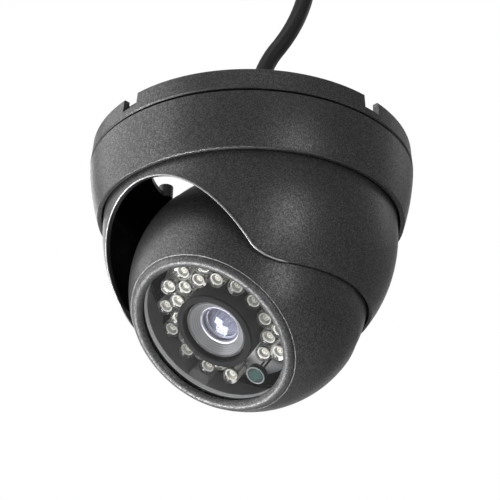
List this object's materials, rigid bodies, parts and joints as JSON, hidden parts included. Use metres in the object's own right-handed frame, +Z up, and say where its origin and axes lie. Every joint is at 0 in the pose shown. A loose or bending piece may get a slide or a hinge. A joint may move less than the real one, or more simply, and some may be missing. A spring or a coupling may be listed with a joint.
{
  "type": "dome cctv camera",
  "caption": "Metal ceiling dome camera: slotted base, twist-lock cover ring, arched turning shroud, tilting round eye with infrared lights behind glass, and a coiled cable.",
  "frame": {"origin": "centre of the ceiling screw circle on the mounting face", "axes": "+Z up into the ceiling; the dome hangs to -Z; at rest the eye looks along -Y and down; +X is the tilt axis"},
  "size_m": [0.2142, 0.0995, 0.1699],
  "materials": {
    "powder_coat": "fine metallic powder coat, satin",
    "zinc_steel": "zinc plated",
    "nylon": "natural nylon",
    "seal_rubber": "matt",
    "window_glass": "flat polished, faintly smoked",
    "dark_board": "satin solder mask",
    "clear_resin": "clear moulded",
    "sensor_resin": "gloss",
    "lens_black": "fine matt",
    "lens_glass": "coated, polished",
    "filter_glass": "polished",
    "chip_black": "fine matt",
    "green_board": "solder mask",
    "brass": "turned",
    "cable_black": "satin soft jacket",
    "tie_plastic": "satin",
    "nickel": "nickel plated"
  },
  "bodies": {
    "base": {"base_ring": "powder_coat", "pan_washer": "nylon", "cable_gland": "seal_rubber", "cable_tube": "cable_black", "cable_coil": "cable_black", "coil_tie": "tie_plastic", "cable_splitter": "cable_black", "power_lead": "cable_black", "video_lead": "cable_black", "dc_jack": "cable_black", "bnc_boot": "cable_black", "bnc_jack": "nickel"},
    "cover": {"cover_ring": "powder_coat", "cover_friction_ring": "seal_rubber"},
    "pan": {"shroud": "powder_coat", "tilt_yoke": "zinc_steel", "yoke_screws": "zinc_steel"},
    "ball": {"pivot_washers": "nylon", "pivot_screws": "zinc_steel", "ball_front_housing": "powder_coat", "ball_back_housing": "powder_coat", "seam_gasket": "seal_rubber", "housing_screws": "zinc_steel", "front_bezel": "powder_coat", "window_glass": "window_glass", "window_seal": "seal_rubber", "led_board": "dark_board", "ir_leds": "clear_resin", "photocell": "sensor_resin", "lens_shield": "seal_rubber", "lens_holder": "lens_black", "ir_cut_filter": "filter_glass", "image_sensor": "chip_black", "sensor_board": "green_board", "board_chips": "chip_black", "board_connector": "nylon", "board_standoffs": "brass", "rear_grommet": "seal_rubber", "ball_lead": "cable_black"},
    "lens": {"lens_barrel": "lens_black", "lens_front_element": "lens_glass", "lens_rear_element": "lens_glass"}
  },
  "joints": [
    {"name": "cover_twist", "type": "hinge", "parent": "base", "child": "cover", "pos_m": [0, 0, -0.0105], "axis": [0, 0, 1], "range_deg": [0, 15]},
    {"name": "pan", "type": "hinge", "parent": "base", "child": "pan", "pos_m": [0, 0, -0.0077], "axis": [0, 0, 1], "range_deg": [-175, 175]},
    {"name": "tilt", "type": "hinge", "parent": "pan", "child": "ball", "pos_m": [0, 0, -0.043], "axis": [1, 0, 0], "range_deg": [-42, 37.6]},
    {"name": "lens_focus", "type": "hinge", "parent": "ball", "child": "lens", "pos_m": [0, 0, -0.043], "axis": [0, -0.6108, -0.7918], "range_deg": [-90, 90]}
  ]
}
